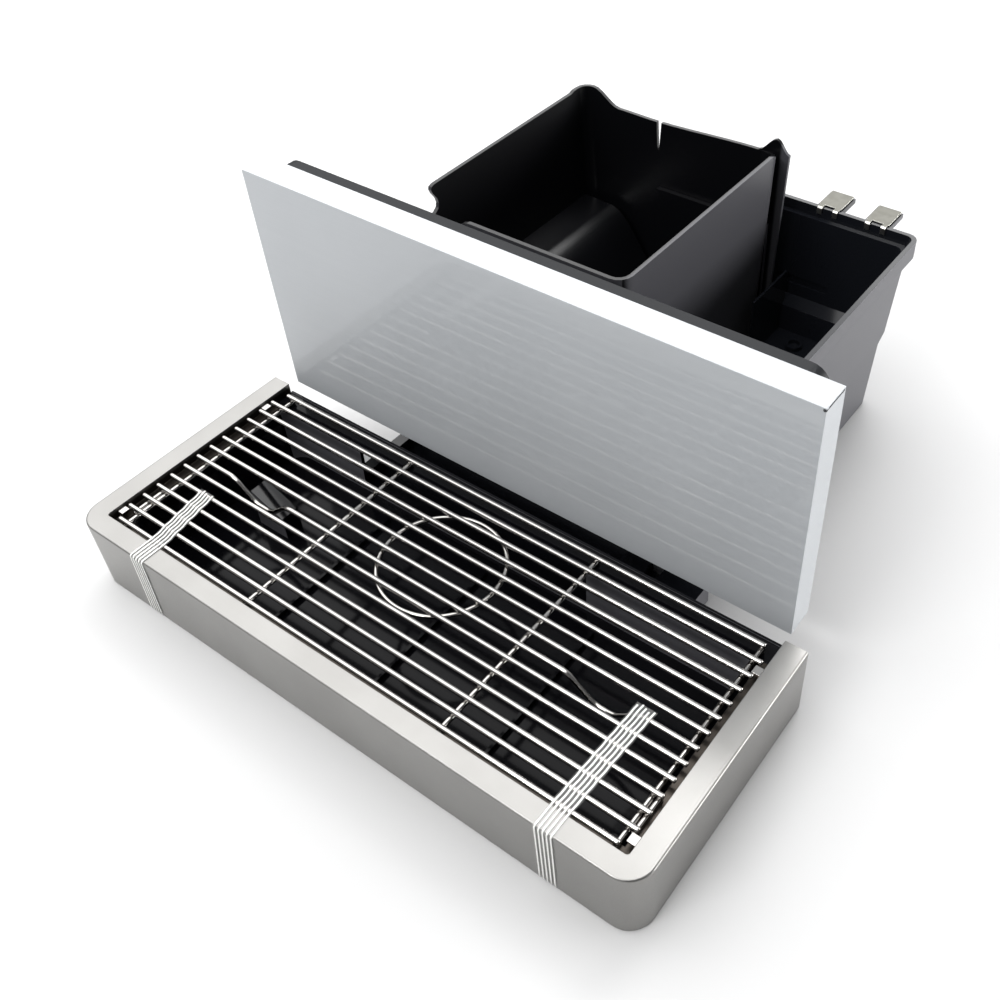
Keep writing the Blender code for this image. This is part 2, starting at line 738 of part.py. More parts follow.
def carrier_outline():
    """Plate with rounded top corners, as (x, z)."""
    top = PANEL_HIGH - GAP
    half = CARRIER_HALF_WIDTH
    points = [(-half, CARRIER_LOW), (half, CARRIER_LOW)]
    for side, start in ((1, 0), (-1, 90)):
        for step in range(7):
            angle = math.radians(start + 90 * step / 6)
            x = side * (half - CARRIER_CORNER) + CARRIER_CORNER * math.cos(angle)
            points.append((x, top - CARRIER_CORNER + CARRIER_CORNER * math.sin(angle)))
    return points


def make_carrier():
    """Plastic plate behind the panel, with a core that fills the folded steel tray."""
    front = PANEL_FRONT_Y + PANEL_DEPTH + GAP
    plate = prism_mesh("panel_carrier", carrier_outline(), "Y", front, CARRIER_BACK_Y)
    carrier = add_part("panel_carrier", plate, "satin_black")
    inset = PANEL_SHEET + GAP
    core_x = symmetric(PANEL_HALF_WIDTH - inset)
    core_z = (PANEL_LOW + inset, PANEL_HIGH - inset)
    core = box_mesh("carrier_core", core_x, (PANEL_FRONT_Y + inset, front + 0.0002), core_z)
    join(carrier, "carrier_core", core)
    floor_y = CARRIER_BACK_Y - CARRIER_SKIN
    low_z = CARRIER_LOW + 0.0085
    high_z = PANEL_HIGH - 0.0036
    wide = symmetric(PANEL_HALF_WIDTH - 0.0036)
    narrow = symmetric(CARRIER_HALF_WIDTH - 0.0034)
    core_pocket = box_mesh("core_pocket", wide, (PANEL_FRONT_Y - 0.001, front - 0.0020), (low_z, high_z))
    cut(carrier, "core_pocket", core_pocket)
    plate_pocket = box_mesh("plate_pocket", narrow, (front - 0.0030, floor_y), (low_z, high_z - 0.0040))
    cut(carrier, "plate_pocket", plate_pocket)
    boss_y = (PANEL_FRONT_Y + 0.0060, floor_y + 0.0010)
    for number, (x, z) in enumerate(SCREW_PLACES, start=1):
        join(carrier, f"screw_boss_{number}", cylinder_mesh("boss", SCREW_BOSS_RADIUS, boss_y, x, z, 16))
    add_carrier_ribs(carrier)
    return carrier


def add_carrier_ribs(carrier):
    """Two upright ribs at each end of the carrier's back, and a rail between them."""
    y_span = (CARRIER_BACK_Y - 0.001, CARRIER_BACK_Y + CARRIER_RIB_DEPTH)
    for side, side_name in ((-1, "left"), (1, "right")):
        for number, x in enumerate(CARRIER_RIB_X, start=1):
            x_span = sorted((side * x, side * (x + CARRIER_RIB_WIDTH)))
            rib = box_mesh("carrier_rib", x_span, y_span, (0.0400, 0.1650))
            join(carrier, f"carrier_rib_{side_name}_{number}", rib)
    rail_z = (0.1480, 0.1480 + CARRIER_RIB_WIDTH)
    join(carrier, "carrier_rail", box_mesh("carrier_rail", symmetric(CARRIER_RIB_X[0]), y_span, rail_z))


def make_screws(basin, carrier):
    """Four screws that clamp the carrier to the front wall of the rear basin."""
    head_low = REAR_FRONT_Y + WALL + 0.001 + GAP
    head_high = head_low + 0.0024
    slot_y = (head_low + 0.0014, head_high + 0.0016)
    tip = CARRIER_BACK_Y - 0.0085
    clearance = SCREW_RADIUS + GAP
    wall_y = (0.160, 0.176)
    pilot_y = (tip - GAP, 0.172)
    for number, (x, z) in enumerate(SCREW_PLACES, start=1):
        cut(basin, f"wall_hole_{number}", cylinder_mesh("hole", clearance, wall_y, x, z, 16))
        cut(carrier, f"pilot_hole_{number}", cylinder_mesh("pilot", clearance, pilot_y, x, z, 16))
        name = f"carrier_screw_{number}"
        shank = cylinder_mesh(name, SCREW_RADIUS, (tip, head_low + 0.0005), x, z, 16)
        screw = add_part(name, shank, "polished_wire")
        head = cylinder_mesh("head", SCREW_HEAD_RADIUS, (head_low, head_high), x, z, 24)
        join(screw, f"screw_head_{number}", head)
        slot = box_mesh("slot", (x - 0.0028, x + 0.0028), slot_y, (z - 0.0004, z + 0.0004))
        cut(screw, f"screw_slot_{number}", slot)


# ---------------------------------------------------------------- container
def bin_lean(z):
    """How far the container's walls lean inwards at a height."""
    return BIN_DRAFT * (BIN_TOP - z) / (BIN_TOP - BIN_LOW)


def container_levels(inset, low, high):
    levels = []
    corners = (BIN_REAR_RIGHT_CORNER, BIN_CORNER, BIN_CORNER, BIN_CORNER)
    for z in (low, high):
        draft = bin_lean(z) + inset
        left_draft = BIN_LEFT_DRAFT * (BIN_TOP - z) / (BIN_TOP - BIN_LOW) + inset
        x_span = (BIN_X[0] + left_draft, BIN_X[1] - draft)
        y_span = (BIN_Y[0] + draft, BIN_Y[1] - draft)
        levels.append((z, x_span, y_span, tuple(corner - inset for corner in corners)))
    return levels


def rim_cutter(name, line, axis, low, high):
    """Takes away what stands above a wavy rim line drawn across one axis."""
    above = BIN_TOP + 0.010
    outline = [*line, (line[-1][0], above), (line[0][0], above)]
    return prism_mesh(name, outline, axis, low, high)


def make_container():
    """Drafted box with wavy rims, a ramp inside, and a lifting ear at the rear right."""
    body = loft_mesh("grounds_container", container_levels(0.0, BIN_LOW, BIN_TOP))
    container = add_part("grounds_container", body, "satin_black")
    cavity = loft_mesh("bin_cavity", container_levels(BIN_WALL, BIN_LOW + 0.003, BIN_TOP + 0.002))
    cut(container, "bin_cavity", cavity)
    add_container_ramp(container)
    shape_container_rims(container)
    add_container_ear(container)
    return container


def shape_container_rims(container):
    """Low at the front left, high at the left of the back, with a narrow slot in the back."""
    left, right = BIN_X
    front, back = BIN_Y
    band = 0.012
    ear_root = BIN_EAR_LINE[0][1]
    back_line = eased([
        (left - 0.002, 0.1556), (left + 0.0080, 0.1554), (left + 0.0270, 0.1462), (-0.0530, 0.1456),
        (BIN_EAR_X[0], ear_root), (right + 0.002, ear_root + 0.0004),
    ])
    cut(container, "rim_back", rim_cutter("rim_back", back_line, "Y", back - 0.0045, back + 0.002))
    left_line = [
        (front + band - 0.002, BIN_FRONT_RIM), (front + 0.0165, 0.1376), (front + 0.0193, 0.1395),
        (front + 0.0202, 0.1420), (front + 0.0195, 0.1450), (front + 0.0170, 0.1489),
        (front + 0.0161, 0.1515), (front + 0.0168, 0.1530), (front + 0.0190, 0.1537),
    ]
    left_line += eased([
        (front + 0.0230, 0.1538), (back - band - 0.004, 0.1545), (back - band, 0.1554),
        (back + 0.002, 0.1556),
    ])
    cut(container, "rim_left", rim_cutter("rim_left", left_line, "X", left - 0.002, left + band))
    right_line = eased([
        (front - 0.002, BIN_RIM), (back - 0.0150, BIN_RIM), (back - 0.0050, ear_root + 0.0012),
        (back + 0.002, ear_root + 0.0004),
    ])
    inner_right = BIN_EAR_X[0]
    cut(container, "rim_right", rim_cutter("rim_right", right_line, "X", inner_right, right + 0.002))
    front_line = eased([
        (left - 0.002, BIN_FRONT_RIM), (left + 0.0200, BIN_FRONT_RIM), (left + 0.0420, BIN_RIM),
        (right + 0.002, BIN_RIM),
    ])
    cut(container, "rim_front", rim_cutter("rim_front", front_line, "Y", front - 0.002, front + band))
    slot = [
        (BIN_SLOT_X - 0.0024, 0.1600), (BIN_SLOT_X - 0.0006, BIN_SLOT_LOW),
        (BIN_SLOT_X + 0.0006, BIN_SLOT_LOW), (BIN_SLOT_X + 0.0024, 0.1600),
    ]
    cut(container, "back_slot", prism_mesh("back_slot", slot, "Y", back - 0.010, back + 0.002))


def add_container_ear(container):
    """The back wall runs on to the right as a flat wing that ends in a rounded ear."""
    left, right = BIN_EAR_X
    outline = [(left, BIN_LOW + 0.0010), *eased(BIN_EAR_LINE, 5)]
    outline += [(right - BIN_DRAFT, BIN_LOW + 0.0010)]
    back = BIN_Y[1] - 0.0001
    ear = prism_mesh("lifting_ear", outline, "Y", back - BIN_EAR_THICKNESS, back)
    for vert in ear.vertices:
        vert.co.y -= bin_lean(vert.co.z)
    join(container, "lifting_ear", ear)


def add_container_ramp(container):
    """A rounded ramp along the left of the floor and a ledge low on the back wall."""
    floor = BIN_LOW + 0.0030
    left = BIN_X[0] + 0.0055
    top = BIN_RAMP_TOP
    ramp = eased([(left, top), (left + 0.0210, top - 0.0010), (left + BIN_RAMP_WIDTH, floor + 0.0008)], 8)
    ramp += [(left + BIN_RAMP_WIDTH + 0.0020, floor - 0.001), (left + 0.0022, floor - 0.001)]
    ramp_y = (BIN_Y[0] + 0.0045, BIN_Y[1] - BIN_RAMP_SHORT)
    join(container, "floor_ramp", prism_mesh("floor_ramp", ramp, "Y", *ramp_y))
    edge = left + 0.0560
    under = [(left + 0.0050, top - 0.0035), (left + 0.0200, top - 0.0045), (edge, BIN_LOW + 0.0035)]
    under = eased(under, 8)
    under += [(edge, BIN_LOW - 0.001), (left + 0.0050, BIN_LOW - 0.001)]
    under_y = (BIN_Y[0] + 0.0080, BIN_Y[1] - BIN_RAMP_SHORT - 0.0025)
    cut(container, "under_ramp", prism_mesh("under_ramp", under, "Y", *under_y))
    ledge_x = (BIN_SLOT_X + 0.0020, BIN_X[1] - 0.0042)
    ledge_y = (BIN_Y[1] - 0.0070, BIN_Y[1] - 0.0040)
    ledge = box_mesh("back_ledge", ledge_x, ledge_y, (floor - 0.0008, BIN_LEDGE_TOP))
    join(container, "back_ledge", ledge)


# ---------------------------------------------------------------- sensor contacts
def contact_leg_outline(low, high):
    """Side view of a leg that bends down over the inside of the rim, as (y, z)."""
    inner = CONTACT_LEG_FACE - CONTACT_SHEET
    foot = high - CONTACT_LEG_DROP
    bend = 0.0016
    outline = [(CONTACT_Y[0] + 0.0010, low), (CONTACT_Y[0] + 0.0010, high)]
    for step in range(6):
        angle = math.radians(90 * step / 5)
        outline.append((inner + bend - bend * math.sin(angle), high - bend + bend * math.cos(angle)))
    return outline + [(inner, foot), (CONTACT_LEG_FACE, foot), (CONTACT_LEG_FACE, low)]


def make_contact(name, x):
    """A plate on the tongue with two legs folded over the inside of the rim."""
    low = REAR_RIM + GAP
    high = low + CONTACT_SHEET
    half = CONTACT_WIDTH / 2
    contact = add_part(name, box_mesh(name, (x - half, x + half), CONTACT_Y, (low, high)), "contact_nickel")
    outline = contact_leg_outline(low, high)
    for side, side_name in ((-1, "left"), (1, "right")):
        start = x + side * (half - CONTACT_LEG_WIDTH / 2 - 0.0006) - CONTACT_LEG_WIDTH / 2
        leg = prism_mesh("leg", outline, "X", start, start + CONTACT_LEG_WIDTH)
        join(contact, f"{name}_{side_name}_leg", leg)
    return contact


# ---------------------------------------------------------------- assembly
clear_scene()
PARTS = new_collection("drip_tray_drawer")
CUTTERS = new_collection("cutters")
FINISHES = make_materials()
ORIGIN = bpy.data.objects.new("drawer_origin", None)
PARTS.objects.link(ORIGIN)
ORIGIN.location = (0.0, -ORIGIN_Y, 0.0)

make_frame()
make_frame_clips()
make_grille()
for tape_name in TAPES:
    make_tape(tape_name)
drip_basin = make_basin()
make_front_panel()
panel_carrier = make_carrier()
make_screws(drip_basin, panel_carrier)
make_container()
for contact_name, contact_x in zip(("sensor_contact_left", "sensor_contact_right"), CONTACT_X):
    make_contact(contact_name, contact_x)
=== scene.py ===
"""Looks of the drip tray drawer: finely made wires, tape and welds, and the finish of every piece."""

import math

import bmesh
import bpy
from mathutils import Matrix, Quaternion, Vector


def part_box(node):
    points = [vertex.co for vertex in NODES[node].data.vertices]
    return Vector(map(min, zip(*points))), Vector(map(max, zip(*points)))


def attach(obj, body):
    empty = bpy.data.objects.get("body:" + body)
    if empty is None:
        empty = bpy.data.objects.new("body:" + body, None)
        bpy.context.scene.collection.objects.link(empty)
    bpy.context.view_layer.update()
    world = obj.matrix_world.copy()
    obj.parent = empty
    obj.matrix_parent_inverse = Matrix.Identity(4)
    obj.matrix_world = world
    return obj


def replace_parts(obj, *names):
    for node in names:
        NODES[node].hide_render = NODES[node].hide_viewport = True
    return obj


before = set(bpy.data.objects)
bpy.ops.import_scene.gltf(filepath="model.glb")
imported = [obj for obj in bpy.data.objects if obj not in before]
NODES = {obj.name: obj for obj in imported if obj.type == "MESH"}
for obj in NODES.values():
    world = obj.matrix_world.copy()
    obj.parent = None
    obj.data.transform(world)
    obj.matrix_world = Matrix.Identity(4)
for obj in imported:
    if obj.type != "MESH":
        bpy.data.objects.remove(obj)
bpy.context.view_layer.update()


def middle(node):
    """The centre of a CAD node's box."""
    low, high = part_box(node)
    return (low + high) / 2


# ---------------------------------------------------------------- places taken from the frame
MM = 0.001
BARS = sorted(name for name in NODES if name.startswith("grille_bar_"))
CROSS_WIRES = sorted(name for name in NODES if name.startswith("cross_wire_"))
LOCATORS = ("locator_wire_left", "locator_wire_right")
GRIP_BAR = "grille_bar_07"
FRONT_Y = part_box("steel_frame")[0].y
RIM_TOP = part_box("steel_frame")[1].z
BAR_RADIUS = (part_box(BARS[0])[1].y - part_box(BARS[0])[0].y) / 2
BAR_FIRST_Y = middle(BARS[0]).y
BAR_PITCH = middle(BARS[1]).y - BAR_FIRST_Y
BAR_Z = middle(BARS[0]).z
CROSS_Z = middle("cross_wire_1").z
BAR_REAR_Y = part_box(BARS[-1])[1].y

# ---------------------------------------------------------------- sizes set here
GRIP_CENTRE = 111.0 * MM
GRIP_TOP_HALF = 20.0 * MM
GRIP_FLOOR_HALF = 5.5 * MM
GRIP_BEND = 4.5 * MM
ROD_SIDES = 20
RING_SIDES = 16
RING_STEPS = 96
# dome at a wire's end: (distance from the end, share of the full radius), both in wire radii
DOME = ((0.0, 0.55), (0.12, 0.86), (0.42, 1.0), (0.9, 1.0))
BEAD_SIZE = (1.25 * MM, 1.25 * MM, 0.75 * MM)

TAPE_WIDTH = 10.5 * MM
TAPE_THICKNESS = 0.25 * MM
TAPE_GAP = 0.3 * MM
TAPE_SAG = 0.45 * MM
TAPE_STEP = 0.45 * MM
TAPE_BEND = 1.2 * MM
FILM_THICKNESS = 0.05 * MM
YARN_COUNT = 5
YARN_WIDTH = 0.85 * MM
YARN_LOW = 0.06 * MM
YARN_CROWN = 0.10 * MM
# strip: (x at the front bar, sideways drift over the bars, drift down the skirt, end behind the front)
TAPES = {
    "transit_tape_left": (-125.4 * MM, -0.17, -0.06, 51.2 * MM),
    "transit_tape_right": (129.3 * MM, 0.035, 0.0, 72.2 * MM),
}

# a CAD node's edges: what counts as one point, as flat and as an edge to round
WELD_REACH = 0.002 * MM
FLAT_ANGLE = math.radians(0.5)
EDGE_ANGLE = math.radians(32)

FLOOR_SIZE = 8.0
FLOOR_Z = -0.6 * MM
SKY_STRENGTH = 0.18
# light: (name, place, target, size, brightness)
LIGHTS = (
    ("overhead_softbox", (-1.25, 0.6, 1.5), (-1.25, 0.6001, 0.0), (3.3, 4.2), 2.7),
    ("back_softbox", (-0.6, 3.2, 1.3), (0.0, 0.0, 0.3), (3.0, 1.8), 1.2),
    ("crisp_softbox", (-0.03, 0.78, 1.45), (-0.1, 0.0, 0.0), (0.42, 0.34), 8.0),
    ("edge_softbox", (-0.25, -1.35, 1.25), (0.0, 0.0, 0.0), (0.7, 0.2), 22.0),
    ("right_softbox", (1.3, 0.9, 0.3), (0.0, 0.05, 0.05), (1.4, 0.5), 11.0),
)
CAMERA_PLACE = Vector((0.2832, FRONT_Y - 0.1623, RIM_TOP + 0.4155))
CAMERA_LOOK = Vector((-0.4316, 0.5776, -0.6929))
CAMERA_ROLL = -1.75
CAMERA_LENS = 40.47
CAMERA_SHIFT = (-0.0971, -0.0360)

# ---------------------------------------------------------------- colours
SHEET_COLOURS = ((0.285, 0.28, 0.27), (0.31, 0.305, 0.295))
# painted shade: the dark tone for the steel frame's inner ledge and walls below the rim
RECESS_SHADE_COLOUR = (0.055, 0.048, 0.042)
PANEL_COLOURS = ((0.45, 0.47, 0.49), (0.48, 0.50, 0.52))
# painted light and shade on the black basin: the front basin under the grille darker, the outer walls
# paler as if lit
BASIN_FRONT_SHADE_COLOUR = (0.003, 0.003, 0.004)
BASIN_REAR_COLOUR = (0.009, 0.010, 0.013)
BASIN_OUTER_LIT_COLOUR = (0.092, 0.092, 0.101)
# painted light and shade on the container: near black inside, paler outside as if lit
CONTAINER_INNER_SHADE_COLOUR = (0.0025, 0.0026, 0.0035)
CONTAINER_OUTER_LIT_COLOUR = (0.053, 0.053, 0.060)
NICKEL_COLOUR = (0.70, 0.69, 0.64)
# darker colours with faint marks that paint shade on the upward-facing contact plates
PLATE_SHADE_AND_MARK_COLOURS = ((0.115, 0.113, 0.098), (0.135, 0.133, 0.117))
YARN_COLOURS = ((0.84, 0.84, 0.80), (0.95, 0.95, 0.93))
FLOOR_COLOUR = (0.60, 0.60, 0.60)
SKY_COLOUR = (0.97, 0.98, 1.0)


# ---------------------------------------------------------------- materials
class Finish:
    """A material with its shader, and short ways to add procedural detail to it."""

    def __init__(self, name, colour, roughness, metallic=0.0):
        self.material = bpy.data.materials.new(name)
        self.material.use_nodes = True
        self.tree = self.material.node_tree
        self.shader = self.tree.nodes["Principled BSDF"]
        self.set("Base Color", (*colour, 1.0))
        self.set("Roughness", roughness)
        self.set("Metallic", metallic)
        self.place = self.tree.nodes.new("ShaderNodeTexCoord").outputs["Object"]
        self.height = None

    def set(self, socket, value):
        self.shader.inputs[socket].default_value = value

    def plug(self, socket, value):
        """Sets a node's socket to a number or colour, or links it to an output."""
        if isinstance(value, bpy.types.NodeSocket):
            self.tree.links.new(value, socket)
        elif isinstance(value, tuple):
            socket.default_value = (*value, 1.0)
        else:
            socket.default_value = value

    def stretched(self, scale):
        """Object coordinates in metres, multiplied along each axis."""
        mapping = self.tree.nodes.new("ShaderNodeMapping")
        mapping.inputs["Scale"].default_value = scale
        self.tree.links.new(self.place, mapping.inputs["Vector"])
        return mapping.outputs["Vector"]

    def noise(self, scale, detail=3.0, place=None):
        texture = self.tree.nodes.new("ShaderNodeTexNoise")
        texture.inputs["Scale"].default_value = scale
        texture.inputs["Detail"].default_value = detail
        self.tree.links.new(place or self.place, texture.inputs["Vector"])
        return texture.outputs["Fac"]

    def spread(self, factor, low, high, start=0.35, end=0.65):
        """Factor between start and end, turned into a value between low and high."""
        remap = self.tree.nodes.new("ShaderNodeMapRange")
        remap.inputs["From Min"].default_value = start
        remap.inputs["From Max"].default_value = end
        remap.inputs["To Min"].default_value = low
        remap.inputs["To Max"].default_value = high
        self.tree.links.new(factor, remap.inputs["Value"])
        return remap.outputs["Result"]

    def blend(self, kind, factor, first, second):
        blend = self.tree.nodes.new("ShaderNodeMix")
        blend.data_type = kind
        self.plug(blend.inputs["Factor"], factor)
        self.plug(blend.inputs["A"], first)
        self.plug(blend.inputs["B"], second)
        return blend.outputs["Result"]

    def mix(self, factor, first, second):
        """From the first colour to the second by the factor; each is a colour or an output."""
        return self.blend("RGBA", factor, first, second)

    def between(self, factor, first, second):
        """From first to second by the factor; each is a number or an output."""
        return self.blend("FLOAT", factor, first, second)

    def mottle(self, factor, colours):
        """A base colour that drifts between two colours with the factor."""
        return self.mix(self.spread(factor, 0, 1), *colours)

    def axes(self, output=None):
        """X, Y and Z of a vector output, by default of the object coordinates."""
        parts = self.tree.nodes.new("ShaderNodeSeparateXYZ")
        self.tree.links.new(output or self.place, parts.inputs["Vector"])
        return parts.outputs

    def normal(self):
        return self.tree.nodes.new("ShaderNodeNewGeometry").outputs["True Normal"]

    def combine(self, operation, first, second):
        node = self.tree.nodes.new("ShaderNodeMath")
        node.operation = operation
        self.plug(node.inputs[0], first)
        self.plug(node.inputs[1], second)
        return node.outputs["Value"]

    def facing_out(self, centre, reach):
        """One where a surface at least reach from the centre faces away from it, else nought."""
        place = self.axes()
        normal = self.axes(self.normal())
        sides = []
        for axis, origin in zip("XY", centre):
            offset = self.combine("SUBTRACT", place[axis], origin)
            sides.append(self.combine("MULTIPLY", offset, normal[axis]))
        furthest = self.combine("MAXIMUM", *sides)
        return self.spread(furthest, 0.0, 1.0, reach - 4.0 * MM, reach)

    def band(self, output, low, high, edge):
        """One between low and high, nought outside, with a soft step of width edge."""
        rise = self.spread(output, 0.0, 1.0, low - edge, low)
        fall = self.spread(output, 1.0, 0.0, high, high + edge)
        return self.combine("MULTIPLY", rise, fall)

    def drive(self, socket, output):
        self.tree.links.new(output, self.shader.inputs[socket])

    def bump(self, factor, depth, strength=1.0):
        """Adds a relief of the given depth in metres to the surface."""
        relief = self.tree.nodes.new("ShaderNodeBump")
        relief.inputs["Strength"].default_value = strength
        relief.inputs["Distance"].default_value = depth
        self.tree.links.new(factor, relief.inputs["Height"])
        if self.height is not None:
            self.tree.links.new(self.height, relief.inputs["Normal"])
        self.height = relief.outputs["Normal"]
        self.tree.links.new(self.height, self.shader.inputs["Normal"])


def satin_steel():
    """Bead-blasted stainless sheet: fine grain, faint cloudy variation, and painted shade on its
    inward-facing parts below the rim.
    """
    finish = Finish("satin_steel", (0.30, 0.295, 0.285), 0.36, 1.0)
    grain = finish.noise(2600, 2.0)
    clouds = finish.noise(28, 3.0)
    sheet = finish.mottle(clouds, SHEET_COLOURS)
    # painted shade: inward-facing steel below the rim takes the dark shade colour
    low = finish.spread(finish.axes()["Z"], 1.0, 0.0, RIM_TOP - 3.0 * MM, RIM_TOP - 0.8 * MM)
    skirt = finish.facing_out((0.0, BAR_REAR_Y), 0.09)
    painted_recess_shade = finish.combine("MULTIPLY", low, finish.combine("SUBTRACT", 1.0, skirt))
    finish.drive("Base Color", finish.mix(painted_recess_shade, sheet, RECESS_SHADE_COLOUR))
    finish.drive("Roughness", finish.spread(grain, 0.31, 0.41))
    finish.bump(grain, 0.00002, 0.4)
    return finish.material


def polished_wire():
    """Electropolished wire."""
    finish = Finish("polished_wire", (0.45, 0.435, 0.42), 0.13, 1.0)
    clouds = finish.noise(90, 2.0)
    finish.drive("Roughness", finish.spread(clouds, 0.11, 0.16))
    return finish.material


def panel_steel():
    """Pale lacquered sheet with a fine brushed grain under a clear coat."""
    finish = Finish("panel_steel", (0.46, 0.48, 0.50), 0.55, 0.12)
    brushed = finish.noise(1.0, 2.0, finish.stretched((14, 900, 2400)))
    clouds = finish.noise(9, 2.0)
    finish.drive("Base Color", finish.mottle(clouds, PANEL_COLOURS))
    finish.drive("Roughness", finish.spread(brushed, 0.50, 0.60))
    finish.set("Coat Weight", 0.55)
    finish.set("Coat Roughness", 0.02)
    finish.set("Coat IOR", 1.45)
    return finish.material


def basin_black():
    """Polished black plastic, satin outside, with painted light and shade: outer walls painted paler as
    if lit, the front basin under the grille painted darker and less reflective than the rear, and a
    painted sheen on the sloping block.
    """
    finish = Finish("gloss_black", BASIN_FRONT_SHADE_COLOUR, 0.10)
    out = finish.facing_out((0.0, middle("grounds_container").y), 0.08)
    place = finish.axes()
    rear = finish.spread(place["Y"], 0.0, 1.0, BAR_REAR_Y, BAR_REAR_Y + 30.0 * MM)
    # painted sheen: the sloping block band and the rear basin reflect more than the front basin under the
    # grille
    block = finish.band(place["Z"], 14.0 * MM, 29.0 * MM, 1.0 * MM)
    painted_sheen = finish.between(block, 0.10, 0.55)
    painted_sheen = finish.between(rear, painted_sheen, 0.35)
    # painted shade inside, darkest under the grille, and painted light on the outer walls
    inside = finish.mix(rear, BASIN_FRONT_SHADE_COLOUR, BASIN_REAR_COLOUR)
    finish.drive("Base Color", finish.mix(out, inside, BASIN_OUTER_LIT_COLOUR))
    finish.drive("Roughness", finish.between(out, 0.10, 0.45))
    finish.drive("Specular IOR Level", finish.between(out, painted_sheen, 0.5))
    return finish.material


def container_black():
    """Even black inside as painted shade, with the outer walls and ear painted paler and a little more
    reflective as if lit.
    """
    finish = Finish("satin_black", CONTAINER_INNER_SHADE_COLOUR, 0.30)
    centre = middle("grounds_container")
    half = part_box("grounds_container")[1].x - centre.x
    walls = finish.facing_out((centre.x, centre.y), half * 0.82)
    edge = centre.x + half
    ear = finish.spread(finish.axes()["X"], 0.0, 1.0, edge - 6.0 * MM, edge - 4.5 * MM)
    # painted light on the outer walls and ear, painted shade inside
    out = finish.combine("MAXIMUM", walls, ear)
    colour = finish.mix(out, CONTAINER_INNER_SHADE_COLOUR, CONTAINER_OUTER_LIT_COLOUR)
    finish.drive("Base Color", colour)
    finish.drive("Roughness", finish.between(out, 0.30, 0.42))
    finish.drive("Specular IOR Level", finish.between(out, 0.42, 0.5))
    finish.bump(finish.noise(2600, 2.0), 0.00002, 0.3)
    return finish.material


def carrier_black():
    """Grained dark grey moulding behind the panel."""
    finish = Finish("carrier_black", (0.010, 0.011, 0.013), 0.46)
    finish.set("Specular IOR Level", 0.16)
    finish.bump(finish.noise(3200, 2.0), 0.00003, 0.5)
    return finish.material


def contact_nickel():
    """Nickel contacts on bright legs, with faint marks, and painted shade that makes the upward-facing
    plates darker.
    """
    finish = Finish("contact_nickel", NICKEL_COLOUR, 0.30, 1.0)
    # painted shade: faces pointing up take the darker colours with marks
    up = finish.spread(finish.axes(finish.normal())["Z"], 0.0, 1.0, 0.85, 0.98)
    marks = finish.noise(240, 2.0)
    shaded_plate = finish.mottle(marks, PLATE_SHADE_AND_MARK_COLOURS)
    finish.drive("Base Color", finish.mix(up, NICKEL_COLOUR, shaded_plate))
    return finish.material


def tape_film():
    """Thin clear film with small bubbles under it."""
    finish = Finish("tape_film", (0.90, 0.90, 0.88), 0.22)
    finish.bump(finish.noise(420, 2.0), 0.00008, 0.4)
    finish.set("Alpha", 0.08)
    return finish.material


def tape_yarn():
    """Bundles of white glass filament."""
    finish = Finish("tape_yarn", (0.90, 0.90, 0.86), 0.45)
    strands = finish.noise(1.0, 2.0, finish.stretched((9000, 150, 150)))
    finish.drive("Base Color", finish.mottle(strands, YARN_COLOURS))
    return finish.material


# ---------------------------------------------------------------- mesh helpers
def add_piece(name, bm, material, body):
    bmesh.ops.recalc_face_normals(bm, faces=bm.faces)
    mesh = bpy.data.meshes.new(name)
    bm.to_mesh(mesh)
    bm.free()
    mesh.shade_smooth()
    mesh.materials.append(material)
    piece = bpy.data.objects.new(name, mesh)
    bpy.context.scene.collection.objects.link(piece)
    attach(piece, body)
    return piece


def ring_of(bm, centre, across, up, radius, sides):
    ring = []
    for side in range(sides):
        angle = math.tau * side / sides
        sideways = across * (radius * math.cos(angle))
        ring.append(bm.verts.new(centre + sideways + up * (radius * math.sin(angle))))
    return ring


def join_rings(bm, first, second):
    count = len(first)
    for side in range(count):
        following = (side + 1) % count
        bm.faces.new((first[side], first[following], second[following], second[side]))


def add_rod(bm, points, radius, sides=ROD_SIDES, closed=False):
    """A round wire along the points, with softly domed ends unless it is closed."""
    points = [Vector(point) for point in points]
    count = len(points)
    rings = []
    across = None
    for index, point in enumerate(points):
        if closed:
            along = (points[(index + 1) % count] - points[index - 1]).normalized()
        else:
            along = (points[min(index + 1, count - 1)] - points[max(index - 1, 0)]).normalized()
        if across is None:
            across = along.cross(Vector((0, 0, 1))).normalized()
        across = (across - along * across.dot(along)).normalized()
        up = along.cross(across)
        places = [(0.0, 1.0)]
        if not closed and index == 0:
            places = DOME
        if not closed and index == count - 1:
            places = [(-shift, share) for shift, share in reversed(DOME)]
        for shift, share in places:
            rings.append(ring_of(bm, point + along * (shift * radius), across, up, radius * share, sides))
    for first, second in zip(rings, rings[1:]):
        join_rings(bm, first, second)
    if closed:
        join_rings(bm, rings[-1], rings[0])
    else:
        bm.faces.new(rings[0])
        bm.faces.new(rings[-1])


def rounded_path(points, reach, steps=8):
    """The same route with each inner corner turned into a short curve."""
    points = [Vector(point) for point in points]
    route = [points[0]]
    for before, corner, after in zip(points, points[1:], points[2:]):
        start = corner + (before - corner).normalized() * reach
        end = corner + (after - corner).normalized() * reach
        for step in range(steps + 1):
            t = step / steps
            route.append(start * (1 - t) ** 2 + corner * (2 * t * (1 - t)) + end * t ** 2)
    route.append(points[-1])
    return route


